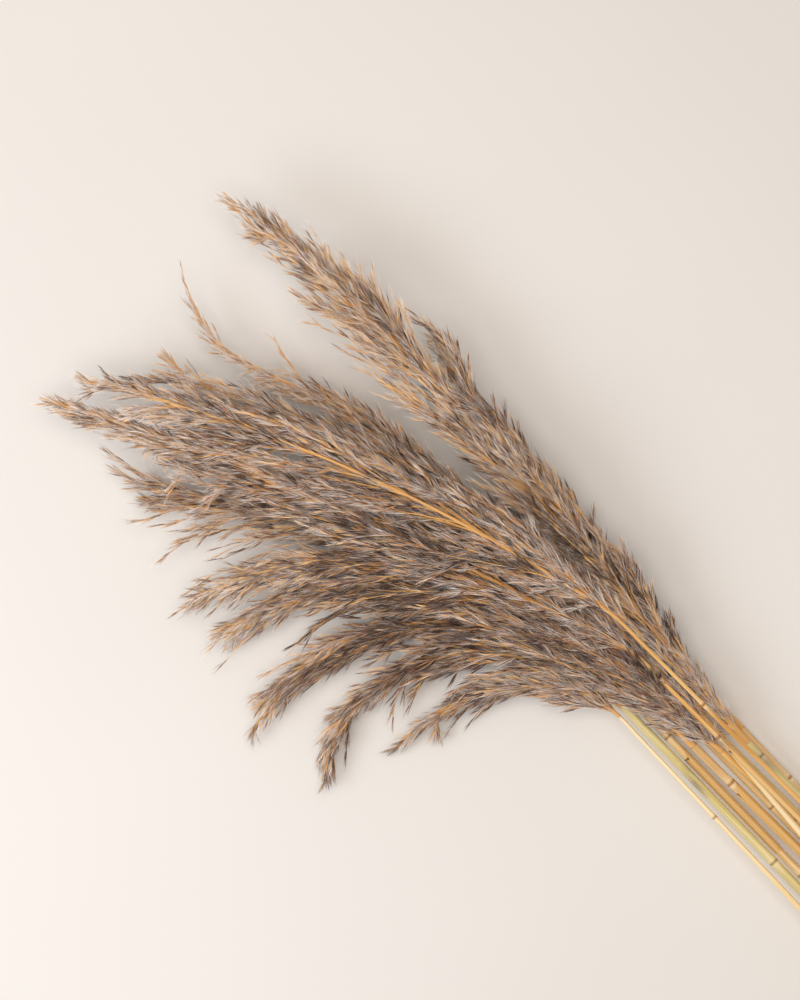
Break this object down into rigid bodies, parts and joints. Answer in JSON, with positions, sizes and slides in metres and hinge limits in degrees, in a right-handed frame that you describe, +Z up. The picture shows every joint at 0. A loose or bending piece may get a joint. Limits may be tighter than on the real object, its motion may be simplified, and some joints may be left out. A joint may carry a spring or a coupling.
{
  "type": "bundle of reed plumes",
  "caption": "Dried reed plumes on jointed straw stems, tied with twine and lying down: a slim sheaf of stems that opens into a drooping fan of grey-brown feathery heads.",
  "frame": {"origin": "middle of the bundle's footprint, on the surface that it lies on", "axes": "+X from the cut ends of the stems to the tips of the plumes, +Y to the side that the plumes droop to, +Z up"},
  "size_m": [0.6751, 0.185, 0.0721],
  "materials": {
    "stem": "dry straw, satin",
    "plume": "dry hairy spikelets, matte",
    "twine": "jute twine, matte"
  },
  "bodies": {
    "root": {"stem_01": "stem", "stem_02": "stem", "stem_03": "stem", "stem_04": "stem", "stem_05": "stem", "stem_06": "stem", "stem_07": "stem", "stem_08": "stem", "stem_09": "stem", "stem_10": "stem", "stem_11": "stem", "stem_12": "stem", "plume_01": "plume", "plume_02": "plume", "plume_03": "plume", "plume_04": "plume", "plume_05": "plume", "plume_06": "plume", "plume_07": "plume", "plume_08": "plume", "plume_09": "plume", "plume_10": "plume", "plume_11": "plume", "plume_12": "plume", "twine_tie": "twine"}
  },
  "joints": []
}
